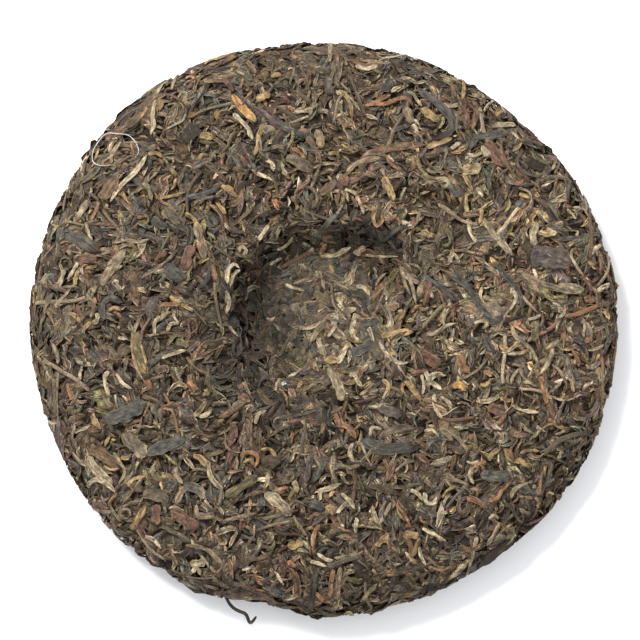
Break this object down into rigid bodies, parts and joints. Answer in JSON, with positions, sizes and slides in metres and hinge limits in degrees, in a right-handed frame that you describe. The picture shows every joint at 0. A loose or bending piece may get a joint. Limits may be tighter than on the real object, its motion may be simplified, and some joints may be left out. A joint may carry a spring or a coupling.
{
  "type": "pu erh tea cake",
  "caption": "Round flat cake of pressed dark tea leaf with an uneven leafy rim and a knot hollow in its upper face; it lies flat to be stored or broken up for brewing.",
  "frame": {"origin": "middle of the flat spot that the cake rests on, on the cake's axis", "axes": "+Z up through the hollow side, +X to the right and +Y up as the cake is seen from above in the picture"},
  "size_m": [0.2007, 0.1995, 0.0237],
  "materials": {
    "pressed_tea": "dry pressed tea leaf, matte with a slight sheen on the twists: dark grey brown, slate and olive leaf with tan, golden and reddish brown pieces"
  },
  "bodies": {
    "root": {"tea_cake": "pressed_tea"}
  },
  "joints": []
}
